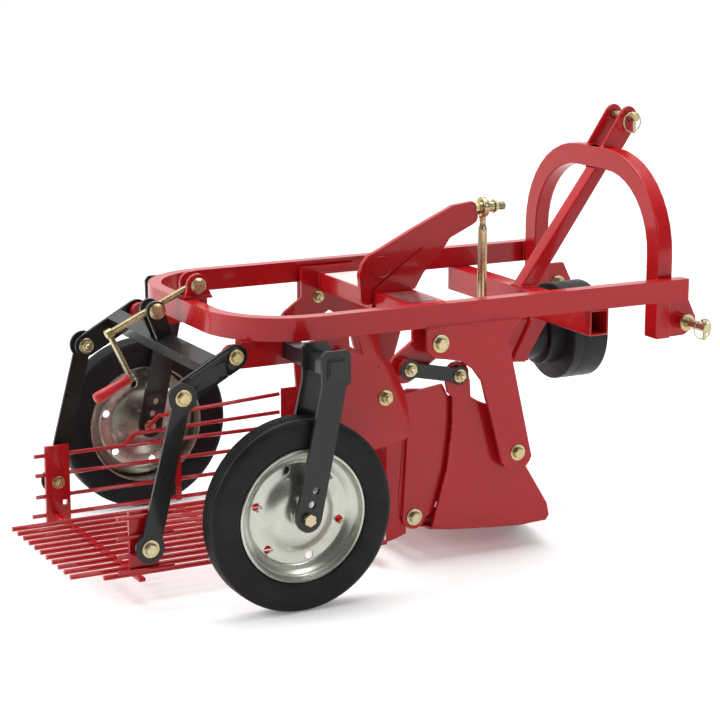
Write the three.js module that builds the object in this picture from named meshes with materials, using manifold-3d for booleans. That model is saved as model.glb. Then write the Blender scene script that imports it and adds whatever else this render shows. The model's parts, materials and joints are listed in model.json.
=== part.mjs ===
// Single-row vibrating potato harvester for a small three-point hitch.
// Millimetres. +X points forward, towards the tractor; +Y is the machine's left; +Z is up.
// Lengths along X are counted from the wheel axle, and heights from 200 below it; both are shifted once.
import * as THREE from 'three';
import { mergeVertices } from 'three/addons/utils/BufferGeometryUtils.js';
import Module from 'manifold-3d';

const wasm = await Module();
wasm.setup();

// ---- driving dimensions ----
const ORIGIN_X = 349;          // wheel axle to the middle of the overall length
const GAP = 0.3;               // air between pieces that touch

const RAIL_Y = 324;            // half-width of the frame over its side rails
const RAIL_TOP = 585;
const RAIL_H = 50;
const RAIL_W = 30;
const RAIL_WALL = 3.5;
const RAIL_FRONT = 1050;
const RAIL_REAR = -80;
const BEND_R = 185;            // outer radius of the two rear corners
const RAIL_BOTTOM = RAIL_TOP - RAIL_H;

const ARCH_X0 = 987;
const ARCH_X1 = 1027;
const ARCH_Y = 290;            // half-width of the hitch arch
const ARCH_TOP = 858;
const ARCH_BOTTOM = 441;
const ARCH_W = 50;
const ARCH_R = 225;

const PIN_X = 1070;            // lower hitch pins
const PIN_Z = 475;
const PIN_R = 11;
const TOP_PIN_X = 1070;        // top link pin
const TOP_PIN_Z = 928;
const TOP_PIN_R = 9.5;

const TUBE_X0 = 783;           // front cross tube
const TUBE_X1 = 833;
const TUBE_H = 60;

const DRIVE_Z = 420;           // power shaft height
const WHEEL_R = 206;
const AXLE_Z = 200;
const GROUND = WHEEL_R - AXLE_Z;
const RIM_R = 142;
const WHEEL_Y = 432;           // middle plane of a wheel
const WHEEL_W = 60;
const AXLE_R = 8;
const STUB_X = 65;             // wheel leg stub
const STUB_Z = 508;
const STUB = 34;
const PIVOT_R = 10;            // rocker and share pivot pins

const A = [397, 498];          // rocker pivot
const B = [332, 443];          // rocker's lower eye
const C = [455, 417];          // share's upper eye
const E = [357, 102];          // sieve pivot behind the share
const F = [596, 230];          // share pivot on the side legs
const G = [-274, 125];         // hanger link to sieve
const H = [-195, 437];         // hanger link to lift lever
const P = [-68, 507];          // lift lever pivot
const TIP = [686, 732];        // rod eye at the rocker arm's tip
const SCREW_FRONT = [-42, 613];
const SCREW_REAR = [-140, 565];
const CRANK = [-241, 521];

const ROD_R = 6;               // sieve rods
const ROD_PITCH = 38;
const FLOOR_RODS = 12;
const FLOOR_Z = 52;
const FLOOR_Y = 192;           // leftmost floor rod

// ---- helpers ----
const toManifold = (geometry) => {
  const g = geometry.clone();
  g.deleteAttribute('normal');
  g.deleteAttribute('uv');
  const m = mergeVertices(g, 1e-4);
  return new wasm.Manifold(new wasm.Mesh({
    numProp: 3,
    vertProperties: new Float32Array(m.attributes.position.array),
    triVerts: new Uint32Array(m.index.array),
  }));
};

const fromManifold = (solid) => {
  const mesh = solid.getMesh();
  const g = new THREE.BufferGeometry();
  g.setAttribute('position', new THREE.BufferAttribute(new Float32Array(mesh.vertProperties), 3));
  g.setIndex(new THREE.BufferAttribute(new Uint32Array(mesh.triVerts), 1));
  return g;
};

const join = (...parts) => fromManifold(parts.map(toManifold).reduce((a, b) => a.add(b)));

const cut = (body, ...tools) =>
  fromManifold(tools.map(toManifold).reduce((a, b) => a.subtract(b), toManifold(body)));

const box = (x0, x1, y0, y1, z0, z1) =>
  new THREE.BoxGeometry(x1 - x0, y1 - y0, z1 - z0)
    .translate((x0 + x1) / 2, (y0 + y1) / 2, (z0 + z1) / 2);

const circle = (x, z, r, count = 20) =>
  Array.from({ length: count }, (_, i) => {
    const t = (i * 2 * Math.PI) / count;
    return new THREE.Vector2(x + r * Math.cos(t), z + r * Math.sin(t));
  });

// A flat plate: outline in X and Z, thickness along Y.
const plate = (points, y0, y1, holes = []) => {
  const shape = new THREE.Shape(points.map(([x, z]) => new THREE.Vector2(x, z)));
  for (const [x, z, r] of holes) {
    shape.holes.push(new THREE.Path(circle(x, z, r)));
  }
  const low = Math.min(y0, y1);
  const high = Math.max(y0, y1);
  return new THREE.ExtrudeGeometry(shape, { depth: high - low, bevelEnabled: false, curveSegments: 12 })
    .rotateX(Math.PI / 2)
    .translate(0, high, 0);
};

// A round bar along X, Y or Z.
const bar = (axis, centre, r, from, to, segments = 24) => {
  const low = Math.min(from, to);
  const high = Math.max(from, to);
  const g = new THREE.CylinderGeometry(r, r, high - low, segments);
  const middle = (low + high) / 2;
  if (axis === 'x') {
    return g.rotateZ(Math.PI / 2).translate(middle, centre[0], centre[1]);
  }
  if (axis === 'y') {
    return g.translate(centre[0], middle, centre[1]);
  }
  return g.rotateX(Math.PI / 2).translate(centre[0], centre[1], middle);
};

// A bar between two points of the X-Z plane at a given Y.
const strut = (a, b, y, r, segments = 16) => {
  const dx = b[0] - a[0];
  const dz = b[1] - a[1];
  const length = Math.hypot(dx, dz);
  return new THREE.CylinderGeometry(r, r, length, segments)
    .rotateZ(-Math.PI / 2)
    .rotateY(-Math.atan2(dz, dx))
    .translate((a[0] + b[0]) / 2, y, (a[1] + b[1]) / 2);
};

// Points of an arc, for outlines.
const arc = (x, z, r, from, to, steps = 8) =>
  Array.from({ length: steps + 1 }, (_, i) => {
    const t = ((from + ((to - from) * i) / steps) * Math.PI) / 180;
    return [x + r * Math.cos(t), z + r * Math.sin(t)];
  });

// A flat bar with round ends between two eyes.
const eyeBar = (a, b, y0, y1, ra, rb, holeA = 0, holeB = 0) => {
  const angle = (Math.atan2(b[1] - a[1], b[0] - a[0]) * 180) / Math.PI;
  const outline = [
    ...arc(a[0], a[1], ra, angle + 90, angle + 270),
    ...arc(b[0], b[1], rb, angle - 90, angle + 90),
  ];
  const holes = [];
  if (holeA) {
    holes.push([a[0], a[1], holeA]);
  }
  if (holeB) {
    holes.push([b[0], b[1], holeB]);
  }
  return plate(outline, y0, y1, holes);
};

const root = new THREE.Group();
root.name = 'potato_harvester';
const row = new THREE.Group();
row.position.set(-ORIGIN_X, 0, GROUND);
root.add(row);

const PAINT = {
  red: 0xa82226,
  black: 0x2e2d2c,
  rubber: 0x1d1d1f,
  zinc: 0xb9beaf,
  gold: 0xb8ab78,
  grip: 0xb3161a,
  steel: 0x55565a,
};

const put = (name, geometry, colour) => {
  const material = new THREE.MeshStandardMaterial({ color: PAINT[colour] });
  const mesh = new THREE.Mesh(geometry, material);
  mesh.name = name;
  row.add(mesh);
};

const SIDES = [['right', -1], ['left', 1]];

// ---- main frame: one tube bent into a U, open at the front ----
const uOutline = (inset) => {
  const half = RAIL_Y - inset;
  const rear = RAIL_REAR + inset;
  const r = BEND_R - inset;
  const outer = [
    [RAIL_FRONT + (inset > 0 && inset < RAIL_W ? 5 : 0), -half],
    ...arc(rear + r, -half + r, r, 270, 180, 9),
    ...arc(rear + r, half - r, r, 180, 90, 9),
    [RAIL_FRONT + (inset > 0 && inset < RAIL_W ? 5 : 0), half],
  ];
  return outer;
};

const uTube = (outerInset, innerInset, z0, z1) => {
  const outer = uOutline(outerInset);
  const inner = uOutline(innerInset);
  const front = outer[0][0];
  inner[0][0] = front;
  inner[inner.length - 1][0] = front;
  const points = [...outer, ...inner.reverse()];
  const shape = new THREE.Shape(points.map(([x, y]) => new THREE.Vector2(x, y)));
  return new THREE.ExtrudeGeometry(shape, { depth: z1 - z0, bevelEnabled: false }).translate(0, 0, z0);
};

// Two lugs stand on its rear for the screw.
put('main_frame', join(
  cut(
    uTube(0, RAIL_W, RAIL_BOTTOM, RAIL_TOP),
    uTube(RAIL_WALL, RAIL_W - RAIL_WALL, RAIL_BOTTOM + RAIL_WALL, RAIL_TOP - RAIL_WALL),
  ),
  ...[-1, 1].map((s) => plate([
    [-76, RAIL_TOP + 2], [-10, RAIL_TOP + 2], [-12, 596],
    ...arc(SCREW_FRONT[0], SCREW_FRONT[1], 26, -20, 200, 9),
  ], s * 14, s * 24)),
  box(-60, -8, -26, 26, RAIL_TOP - 1, RAIL_TOP + 4),
), 'red');

// ---- hitch arch ----
const archOutline = (inset) => {
  const half = ARCH_Y - inset;
  const r = ARCH_R - inset;
  const top = ARCH_TOP - inset;
  return [
    [half, ARCH_BOTTOM],
    ...arc(half - r, top - r, r, 0, 90, 10),
    ...arc(-half + r, top - r, r, 90, 180, 10),
    [-half, ARCH_BOTTOM],
  ];
};
const archPoints = [...archOutline(0), ...archOutline(ARCH_W).reverse()];
const archShape = new THREE.Shape(archPoints.map(([y, z]) => new THREE.Vector2(y, z)));
put('hitch_arch', join(
  new THREE.ExtrudeGeometry(archShape, { depth: ARCH_X1 - ARCH_X0, bevelEnabled: false })
    .rotateX(Math.PI / 2)
    .rotateZ(Math.PI / 2)
    .translate(ARCH_X0, 0, 0),
  ...[-1, 1].map((s) => plate([
    [989, ARCH_TOP - 8], [1054, ARCH_TOP - 8], [1092, 905],
    ...arc(TOP_PIN_X, TOP_PIN_Z, 24, -10, 145, 7),
  ], s * 26, s * 36, [[TOP_PIN_X, TOP_PIN_Z, TOP_PIN_R + GAP]])),
), 'red');

for (const [side, s] of SIDES) {
  put(`hitch_plate_${side}`, join(
    plate([
      [ARCH_X1 + GAP, 440], [1078, 441], ...arc(1083, PIN_Z, 27, -70, 40, 6), [1086, 528], [ARCH_X1 + GAP, 528],
    ], s * 260, s * 272),
    bar('y', [PIN_X, PIN_Z], 18, s * 270, s * 292, 20),
    bar('y', [PIN_X, PIN_Z], PIN_R, s * 290, s * 374, 20),
  ), 'red');
}
put('top_link_pin', join(
  bar('y', [TOP_PIN_X, TOP_PIN_Z], TOP_PIN_R, -68, 44),
  bar('y', [TOP_PIN_X, TOP_PIN_Z], 15, 36 + GAP, 44),
), 'gold');

// ---- front cross tube and the strut up to the arch ----
const TUBE_Z1 = RAIL_BOTTOM - GAP;
const TUBE_Z0 = TUBE_Z1 - TUBE_H;
put('front_cross_tube', cut(
  box(TUBE_X0, TUBE_X1, -322, 322, TUBE_Z0, TUBE_Z1),
  box(TUBE_X0 + 5, TUBE_X1 - 5, -330, 330, TUBE_Z0 + 5, TUBE_Z1 - 5),
), 'red');
put('mast_strut', plate([
  [784, TUBE_Z1 + GAP], [832, TUBE_Z1 + GAP],
  [1026, ARCH_TOP - ARCH_W - GAP], [988, ARCH_TOP - ARCH_W - GAP],
], -20, 20), 'red');

// ---- drive: bearing housing, its mount, the power shaft with its crank disc, the guard ----
put('gearbox', cut(
  join(
    box(728, 780, -70, 70, DRIVE_Z - 50, DRIVE_Z + 50),
    ...[-1, 1].map((s) => plate([
      [730, DRIVE_Z - 46], [764, DRIVE_Z - 50], [832, TUBE_Z0 - GAP], [784, TUBE_Z0 - GAP],
    ], s * 68, s * 80)),
  ),
  bar('x', [0, DRIVE_Z], 17 + GAP, 700, 820),
), 'red');
put('pto_shaft', join(
  bar('x', [0, DRIVE_Z], 17, 709, 955),
  bar('x', [0, DRIVE_Z], 42, 713, 724),
), 'steel');
// The guard's neck is notched where it passes under the cross tube.
put('pto_guard', cut(
  new THREE.LatheGeometry([
    [21, 780 + GAP], [63, 780 + GAP], [63, 834], [76, 838], [76, 874], [116, 880], [116, 972], [111, 972],
    [111, 885], [71, 878], [71, 843], [58, 838], [58, 786], [21, 786], [21, 780 + GAP],
  ].map(([r, x]) => new THREE.Vector2(r, x)), 24)
    .rotateZ(-Math.PI / 2)
    .translate(0, 0, DRIVE_Z),
  box(TUBE_X0 - GAP, TUBE_X1 + GAP, -45, 45, TUBE_Z0 - GAP, TUBE_Z0 + 20),
), 'black');

// ---- side legs that carry the rocker and share pivots ----
for (const [side, s] of SIDES) {
  put(`side_leg_${side}`, join(
    plate([
      [364, TUBE_Z1], [364, 484], [382, 466], [412, 461], [450, 453], [480, 432], [503, 402], [514, 360],
      [526, 323], ...arc(F[0] - 2, F[1] - 2, 41, 190, 345, 9),
      [602, 351], [580, 444], [571, 479], [576, 512], [598, 528], [598, TUBE_Z1],
    ], s * 314, s * 324),
    bar('y', A, PIVOT_R, s * 262, s * 315),
    bar('y', F, PIVOT_R, s * 270, s * 315),
  ), 'red');
}

// ---- shield plate on the right, hung from the rail beside the rocker ----
put('side_shield', plate([
  [204, TUBE_Z1], [250, TUBE_Z1], [264, 474], [281, 468], [302, 430], [307, 418], [321, 389], [331, 332],
  [334, 309], [322, 290], [287, 281], [240, 275], [150, 268], [150, 496], [216, 490],
], -308, -300), 'red');

// ---- rear brackets under the bend, with the wheel leg stubs through them ----
for (const [side, s] of SIDES) {
  put(`rear_bracket_${side}`, join(
    cut(
      join(
        box(-50, 92, Math.min(s * 236, s * 266), Math.max(s * 236, s * 266), 477, TUBE_Z1),
        bar('y', P, 22, s * 250, s * 266),
      ),
      box(
        STUB_X - STUB / 2 - GAP, STUB_X + STUB / 2 + GAP, -300, 300,
        STUB_Z - STUB / 2 - GAP, STUB_Z + STUB / 2 + GAP,
      ),
    ),
    bar('y', P, 10, s * 264, s * 292, 20),
  ), 'red');
  const leg = [
    [34, 474], [33, 536], [42, 546], [89, 546], [98, 536], [98, 476], [88, 470],
    ...arc(2, AXLE_Z, 29, -12, -168, 8), [-27, 207],
  ];
  const legHoles = [[0, AXLE_Z, AXLE_R + GAP], [9, 229, 8], [18, 258, 8]];
  put(`wheel_fork_${side}`, join(
    plate(leg, s * 382, s * 390, legHoles),
    plate(leg, s * 474, s * 482, legHoles),
    box(
      STUB_X - STUB / 2, STUB_X + STUB / 2,
      Math.min(s * 238, s * 488), Math.max(s * 238, s * 488),
      STUB_Z - STUB / 2, STUB_Z + STUB / 2,
    ),
  ), 'black');
  put(`axle_bolt_${side}`, join(
    bar('y', [0, AXLE_Z], AXLE_R, s * 374, s * 494),
    bar('y', [0, AXLE_Z], 14, s * (482 + GAP), s * 494, 6),
  ), 'gold');
  // Tyre, and the dished disc with its hub.
  const y = s * WHEEL_Y;
  put(`tyre_${side}`, new THREE.LatheGeometry([
    [RIM_R, -26], [RIM_R + 4, -29], [182, -30], [198, -27], [WHEEL_R, -20], [WHEEL_R, 20], [198, 27],
    [182, 30], [RIM_R + 4, 29], [RIM_R, 26], [RIM_R, -26],
  ].map(([r, h]) => new THREE.Vector2(r, h)), 32).translate(0, y, AXLE_Z), 'rubber');
  const lip = RIM_R - GAP;
  const disc = new THREE.LatheGeometry([
    [AXLE_R + GAP, -38], [22, -38], [22, -12], [54, -10], [72, -2], [110, -2], [124, -26], [lip, -26],
    [lip, 26], [lip - 4, 26], [lip - 4, -21], [128, -21], [114, 3], [70, 3], [52, -5], [22, -6], [22, 38],
    [AXLE_R + GAP, 38], [AXLE_R + GAP, -38],
  ].map(([r, h]) => new THREE.Vector2(r, h)), 32).rotateX(s > 0 ? Math.PI : 0).translate(0, y, AXLE_Z);
  const holes = Array.from({ length: 6 }, (_, i) => {
    const t = (i * Math.PI) / 3 + 0.3;
    return bar('y', [92 * Math.cos(t), AXLE_Z + 92 * Math.sin(t)], 9, y - 25, y + 25, 10);
  });
  put(`rim_${side}`, cut(disc, ...holes), 'zinc');
}

// ---- rocker: cross beam, end plates with lower arms, lever arm, connecting rod ----
const rockerEnds = [-1, 1].flatMap((s) => [
  cut(
    plate([
      [352, 573], [505, 573], [505, 520], [446, 470], ...arc(A[0], A[1], 44, -40, -70, 3),
      ...arc(B[0], B[1], 36, -30, -225, 9), [352, 500],
    ], s * 272, s * 282),
    bar('y', A, PIVOT_R + GAP, -290, 290, 20),
  ),
  bar('y', B, 20, s * 281, s * (300 - GAP), 20),
]);
put('rocker_beam', join(box(400, 500, -276, 276, 515, 555), ...rockerEnds), 'red');
for (const [side, s] of SIDES) {
  put(`drive_link_${side}`, join(
    eyeBar(B, C, s * 300, s * 308, 16, 16),
    bar('y', B, 23, s * 300, s * 308),
    bar('y', C, 21, s * 300, s * 308),
  ), 'black');
}
put('rocker_arm', join(
  plate([
    [399.7, 532], [399.7, 555 + GAP], [508, 555 + GAP], [530, 591], [560, 621], [580, 640], [600, 667],
    [660, 694], [670, 700], [674, 708], [674, 738], [660, 748], [608, 742], [500, 694], [410, 651],
    [386, 641], [372, 624], [364, 600], [368, 540], [376, 530], [390, 528],
  ], -7, 7),
  bar('x', [0, TIP[1]], 9, 668, 748),
), 'red');
put('connecting_rod', join(
  cut(bar('x', [0, TIP[1]], 24, 684, 698), bar('x', [0, TIP[1]], 9 + GAP, 670, 710)),
  bar('z', [689, 0], 11, DRIVE_Z + 30, TIP[1] - 48),
  bar('z', [689, 0], 8, TIP[1] - 50, TIP[1] - 18),
  bar('x', [0, DRIVE_Z], 34, 683, 695),
), 'gold');

// ---- share unit ----
// A sheet between the sides: low in the middle, with its side edges raised.
const sheet = (xs, ys, z, thickness) => {
  const positions = [];
  for (const drop of [0, thickness]) {
    for (const x of xs) {
      for (const y of ys) {
        positions.push(x(y), y, z(x(y), y) + thickness - drop);
      }
    }
  }
  const n = ys.length;
  const m = xs.length;
  const top = (i, j) => i * n + j;
  const low = (i, j) => m * n + i * n + j;
  const index = [];
  const quad = (a, b, c, d) => index.push(a, b, c, a, c, d);
  for (let i = 0; i < m - 1; i += 1) {
    for (let j = 0; j < n - 1; j += 1) {
      quad(top(i, j), top(i + 1, j), top(i + 1, j + 1), top(i, j + 1));
      quad(low(i, j), low(i, j + 1), low(i + 1, j + 1), low(i + 1, j));
    }
    quad(low(i, 0), low(i + 1, 0), top(i + 1, 0), top(i, 0));
    quad(low(i + 1, n - 1), low(i, n - 1), top(i, n - 1), top(i + 1, n - 1));
  }
  for (let j = 0; j < n - 1; j += 1) {
    quad(low(0, j + 1), low(0, j), top(0, j), top(0, j + 1));
    quad(low(m - 1, j), low(m - 1, j + 1), top(m - 1, j + 1), top(m - 1, j));
  }
  const g = new THREE.BufferGeometry();
  g.setAttribute('position', new THREE.BufferAttribute(new Float32Array(positions), 3));
  g.setIndex(index);
  return g;
};
const SHARE_Y = 287;
const across = Array.from({ length: 13 }, (_, i) => -SHARE_Y + (i * SHARE_Y) / 6);
const shareZ = (x, y) => {
  const t = (700 - x) / 320;
  const side = (y / SHARE_Y) ** 2;
  return 62 * t * t * 0.6 + 34 * t + side * 54 * (1 - t);
};
const edge = (y) => 742 - 56 * (y / SHARE_Y) ** 2;
put('share_floor', join(
  sheet([392, 450, 510, 570, 630].map((x) => () => x).concat([(y) => edge(y) - 48]), across, shareZ, 6),
  plate([[330, E[1] - 4], ...arc(E[0], E[1], 27, 190, 270, 4), [455, 55], [455, 100], ...arc(E[0], E[1], 27, 80, 170, 4)],
    -260, -252, [[E[0], E[1], 10 + GAP]]),
  plate([[330, E[1] - 4], ...arc(E[0], E[1], 27, 190, 270, 4), [455, 55], [455, 100], ...arc(E[0], E[1], 27, 80, 170, 4)],
    252, 260, [[E[0], E[1], 10 + GAP]]),
), 'red');
put('share_blade', sheet(
  [(y) => edge(y) - 47.7, (y) => edge(y) - 24, (y) => edge(y)], across,
  (x, y) => Math.max(-GROUND, shareZ(x, y) - 2), 7,
), 'steel');
for (const [side, s] of SIDES) {
  put(`share_side_${side}`, join(
    plate([
      [444, 367], [444, 300], [432, 207], [396, 78], [531, 56], [620, 49], [692, 52], [700, 64], [694, 92],
      [633, 192], [612, 262], [560, 330], [509, 352], [490, 364], [488, 400],
      ...arc(C[0], C[1], 30, -10, 190, 8), [432, 380],
    ], s * 288, s * 296, [[F[0], F[1], PIVOT_R + GAP]]),
    box(402, 477, Math.min(s * 256, s * 260), Math.max(s * 256, s * 260), 122, 362),
    box(472, 477, Math.min(s * 257, s * 290), Math.max(s * 257, s * 290), 122, 350),
    bar('y', C, 20, s * 295, s * (300 - GAP)),
  ), 'red');
}

// ---- sieve, carried on a pivot tube behind the share ----
put('sieve_pivot_tube', join(
  bar('y', E, 17, -250, 250),
  bar('y', E, 10, -282, 282),
), 'steel');
for (const [side, s] of SIDES) {
  put(`sieve_arm_${side}`, join(
    plate([
      [334, 286], [326, 384], [345, 392], [400, 386], [424, 360], [432, 297], [420, 207], [386, 110],
      ...arc(E[0], E[1], 28, 10, -150, 8), [322, 142],
    ], s * 266, s * 274, [[E[0], E[1], 10 + GAP]]),
    plate([[294, 50], [318, 55], [342, 63], [342, 284], [294, 284]], s * 268, s * 272),
    plate([
      [334, 384], [340, 290], ...arc(E[0], E[1], 28, 170, 350, 9), [404, 108], [420, 150], [444, 220],
      [453, 285], [449, 352], [426, 396], [396, 392],
    ], s * 273.8, s * 281.8, [[E[0], E[1], 10 + GAP]]),
  ), 'red');
}
const REAR_TIP = -412;
const FRONT_TIP = 300;
const rods = Array.from({ length: FLOOR_RODS }, (_, i) => {
  const y = FLOOR_Y - i * ROD_PITCH;
  const rear = i === FLOOR_RODS - 1 ? -352 : REAR_TIP;
  return bar('x', [y, FLOOR_Z], ROD_R, rear, FRONT_TIP, 8);
});
put('sieve_floor', join(
  box(270, 294 - GAP, -274, 274, FLOOR_Z - 7, FLOOR_Z + 1),
  box(-288, -274, -266, 266, FLOOR_Z - 7, FLOOR_Z + 1),
  box(-14, 0, -229, 195, FLOOR_Z - 7, FLOOR_Z),
  ...rods,
), 'red');

// The left side grid: six rods through the rear bracket, the upper two bent down to the third.
const GRID_Y = 280;
const bent = (points) => points.slice(1).map((p, i) => strut(points[i], p, GRID_Y, ROD_R - 1, 8));
const knots = (points) => points.slice(1, -1).map(([x, z]) => new THREE.SphereGeometry(ROD_R - 1, 8, 6)
  .translate(x, GRID_Y, z));
const topRod = [[-48, 224], [-18, 250], [293.7, 268]];
const secondRod = [[-110, 187], [-78, 214], [293.7, 223]];
put('sieve_side_grid', join(
  box(-304, -246, 266 + GAP, 276, 24, 212),
  ...[[-326, 188], [-324, 142], [-324, 91], [-334, 46]].map(([x, z]) =>
    bar('x', [GRID_Y, z], ROD_R - 1, x, 293.7, 8)),
  ...bent(topRod),
  ...knots(topRod),
  ...bent(secondRod),
  ...knots(secondRod),
  box(20, 34, GRID_Y - 6, GRID_Y - 3, 40, 256),
), 'red');
put('sieve_bracket_right', join(
  box(-312, -246, -276, -266 - GAP, 64, 204),
  ...[193, 150, 111, 77].map((z) => bar('x', [-GRID_Y, z], ROD_R - 1, -340, -215, 8)),
), 'red');

// ---- height adjuster: lift tube with two levers, hanger links, screw and crank ----
const LIFT = [-118, 490];
const tilt = Math.atan2(P[1] - H[1], P[0] - H[0]);
put('lift_tube', join(
  new THREE.BoxGeometry(36, 543.4, 36).rotateY(-tilt).translate(LIFT[0], 0, LIFT[1]),
  ...[-1, 1].map((s) => plate([
    [LIFT[0] - 20, LIFT[1] + 10], [LIFT[0] + 18, LIFT[1] + 16],
    ...arc(SCREW_REAR[0], SCREW_REAR[1], 22, -20, 200, 9),
  ], s * 14, s * 24)),
), 'black');
for (const [side, s] of SIDES) {
  put(`lift_lever_${side}`, join(
    eyeBar(H, P, s * 272, s * 282, 26, 27, 0, 10 + GAP),
    bar('y', H, 14, s * 281, s * (290 - GAP)),
  ), 'black');
  put(`hanger_link_${side}`, join(
    eyeBar(H, G, s * 290, s * 298, 19, 22),
    bar('y', H, 32, s * 290, s * 298),
    bar('y', G, 32, s * 290, s * 298),
  ), 'black');
}
const screwDir = [(SCREW_FRONT[0] - CRANK[0]), (SCREW_FRONT[1] - CRANK[1])];
const screwLen = Math.hypot(...screwDir);
const u = screwDir.map((v) => v / screwLen);
const n = [u[1], -u[0]];
const along = (p, a, b) => [p[0] + u[0] * a + n[0] * b, p[1] + u[1] * a + n[1] * b];
put('screw', strut(along(CRANK, 8, 0), along(SCREW_FRONT, 20, 0), 0, 7.6), 'gold');
put('crank', join(
  strut(along(CRANK, -8, 0), along(CRANK, 7.7, 0), 0, 11),
  strut(along(CRANK, 0, 0), along(CRANK, 0, 114), 0, 8, 8),
  strut(along(CRANK, 2, 114), along(CRANK, -92, 114), 0, 13),
), 'grip');

export default root;
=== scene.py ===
# %% [markdown]
# # A small potato harvester
# This lesson dresses a tractor-drawn potato harvester. The working parts were
# drawn first as plain solids, and each solid belongs to a body that can move.
# Here every one gets rounded edges, a finish, and the bolts, pins and welds
# that the drawing left out. All lengths are in metres, with +X forwards,
# +Y to the machine's left and +Z up.

# %% Load the machine and keep its box
import json
import math
import bmesh
import bpy
from mathutils import Matrix, Vector

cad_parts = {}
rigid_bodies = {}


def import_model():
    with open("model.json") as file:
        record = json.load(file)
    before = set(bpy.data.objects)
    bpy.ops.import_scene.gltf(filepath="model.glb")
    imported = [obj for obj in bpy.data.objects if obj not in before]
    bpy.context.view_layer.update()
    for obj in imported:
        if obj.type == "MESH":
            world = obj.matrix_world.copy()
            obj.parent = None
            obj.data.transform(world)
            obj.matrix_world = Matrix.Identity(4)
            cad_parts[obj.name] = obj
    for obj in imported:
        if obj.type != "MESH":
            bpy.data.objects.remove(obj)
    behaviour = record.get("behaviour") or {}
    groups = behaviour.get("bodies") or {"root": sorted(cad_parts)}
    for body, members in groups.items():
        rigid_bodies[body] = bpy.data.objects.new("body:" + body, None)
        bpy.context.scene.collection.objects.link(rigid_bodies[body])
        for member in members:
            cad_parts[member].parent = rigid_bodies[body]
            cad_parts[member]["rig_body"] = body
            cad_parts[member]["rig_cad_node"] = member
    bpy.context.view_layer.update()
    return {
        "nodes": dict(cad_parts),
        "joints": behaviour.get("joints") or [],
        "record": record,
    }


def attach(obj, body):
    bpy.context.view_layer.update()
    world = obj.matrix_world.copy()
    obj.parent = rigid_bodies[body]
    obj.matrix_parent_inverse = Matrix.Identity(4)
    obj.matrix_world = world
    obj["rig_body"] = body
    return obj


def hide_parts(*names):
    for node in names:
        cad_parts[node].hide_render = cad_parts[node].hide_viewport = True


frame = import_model()
record = frame["record"]

# %% [markdown]
# ## Measuring on the machine
# A workshop drawing of this machine counts its lengths in millimetres from the
# wheel axle. One small function turns such a measure into a point of the
# scene, so the numbers below stay readable. The pivots are read from the
# machine's own joints instead of being typed again.

# %% Points and pivots
MM = 0.001
AXLE_X = -349
AXLE_HEIGHT = 200
pivot = {joint["name"]: Vector(joint["pos_m"]) for joint in frame["joints"]}
LIFTED = pivot["wheel_right_spin"].z / MM - AXLE_HEIGHT


def at(x, y, z):
    """A point from millimetres: x from the axle, y to the left, z from 200 below it."""
    return Vector(((x + AXLE_X) * MM, y * MM, (z + LIFTED) * MM))


ROCKER_PIN = pivot["rocker_swing"]
LINK_PIN = pivot["drive_link_right_swing"]
SHARE_PIN = pivot["share_swing"]
SIEVE_PIN = pivot["sieve_tilt"]
LEVER_PIN = pivot["lift_lever_swing"]
HANGER_PIN = pivot["hanger_right_swing"]
SCREW_PIN = pivot["screw_swing"]
CRANK_PIN = pivot["crank_turn"]
LINK_FOOT = at(455, 0, 417)
HANGER_FOOT = at(-274, 0, 125)
ROD_EYE = pivot["connecting_rod_swing"]
DRIVE_Z = pivot["power_shaft_spin"].z
WHEEL_CENTRE = {
    "right": pivot["wheel_right_spin"],
    "left": pivot["wheel_left_spin"],
}
SIDES = (("right", -1), ("left", 1))
print("pivots:", len(pivot))

# %% [markdown]
# ## Working as by hand
# Blender's operators act on whatever is selected, and the loaded solids start
# out selected. These helpers clear the selection, open one mesh in edit mode
# and select faces or edges by their place, as a hand would with the mouse.

# %% Selecting and editing


def clear():
    if bpy.context.object and bpy.context.object.mode != "OBJECT":
        bpy.ops.object.mode_set(mode="OBJECT")
    bpy.ops.object.select_all(action="DESELECT")


def pick(piece):
    clear()
    piece.select_set(True)
    bpy.context.view_layer.objects.active = piece


def open_mesh(piece, kind="FACE", everything=False):
    pick(piece)
    bpy.ops.object.mode_set(mode="EDIT")
    bpy.ops.mesh.select_mode(type=kind)
    bpy.ops.mesh.select_all(action="SELECT" if everything else "DESELECT")


def close_mesh():
    bpy.ops.object.mode_set(mode="OBJECT")


def select_faces(piece, test):
    """Select the faces whose middle and normal pass the test."""
    mesh = bmesh.from_edit_mesh(piece.data)
    chosen = [f for f in mesh.faces if test(f.calc_center_median(), f.normal)]
    for face in chosen:
        face.select_set(True)
    bmesh.update_edit_mesh(piece.data)
    return len(chosen)


def select_edges(piece, test):
    """Select the edges whose two ends pass the test."""
    mesh = bmesh.from_edit_mesh(piece.data)
    chosen = [e for e in mesh.edges if test(e.verts[0].co, e.verts[1].co)]
    for edge in chosen:
        edge.select_set(True)
    bmesh.update_edit_mesh(piece.data)
    return len(chosen)


clear()
print("helpers ready")

# %% [markdown]
# ## Edges that catch the light
# No real edge is perfectly sharp. A bevel of one or two millimetres gives each
# edge the thin highlight that makes steel look like steel. The faces are then
# shaded smoothly, but weighted by area, so that a flat side stays flat right
# up to its rounded edge.

# %% Bevel, smooth and place


def bevel(piece, width, segments=2, angle=32):
    pick(piece)
    edge = piece.modifiers.new("edge", "BEVEL")
    edge.width = width * MM
    edge.segments = segments
    edge.limit_method = "ANGLE"
    edge.angle_limit = math.radians(angle)
    bpy.ops.object.modifier_apply(modifier=edge.name)


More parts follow.
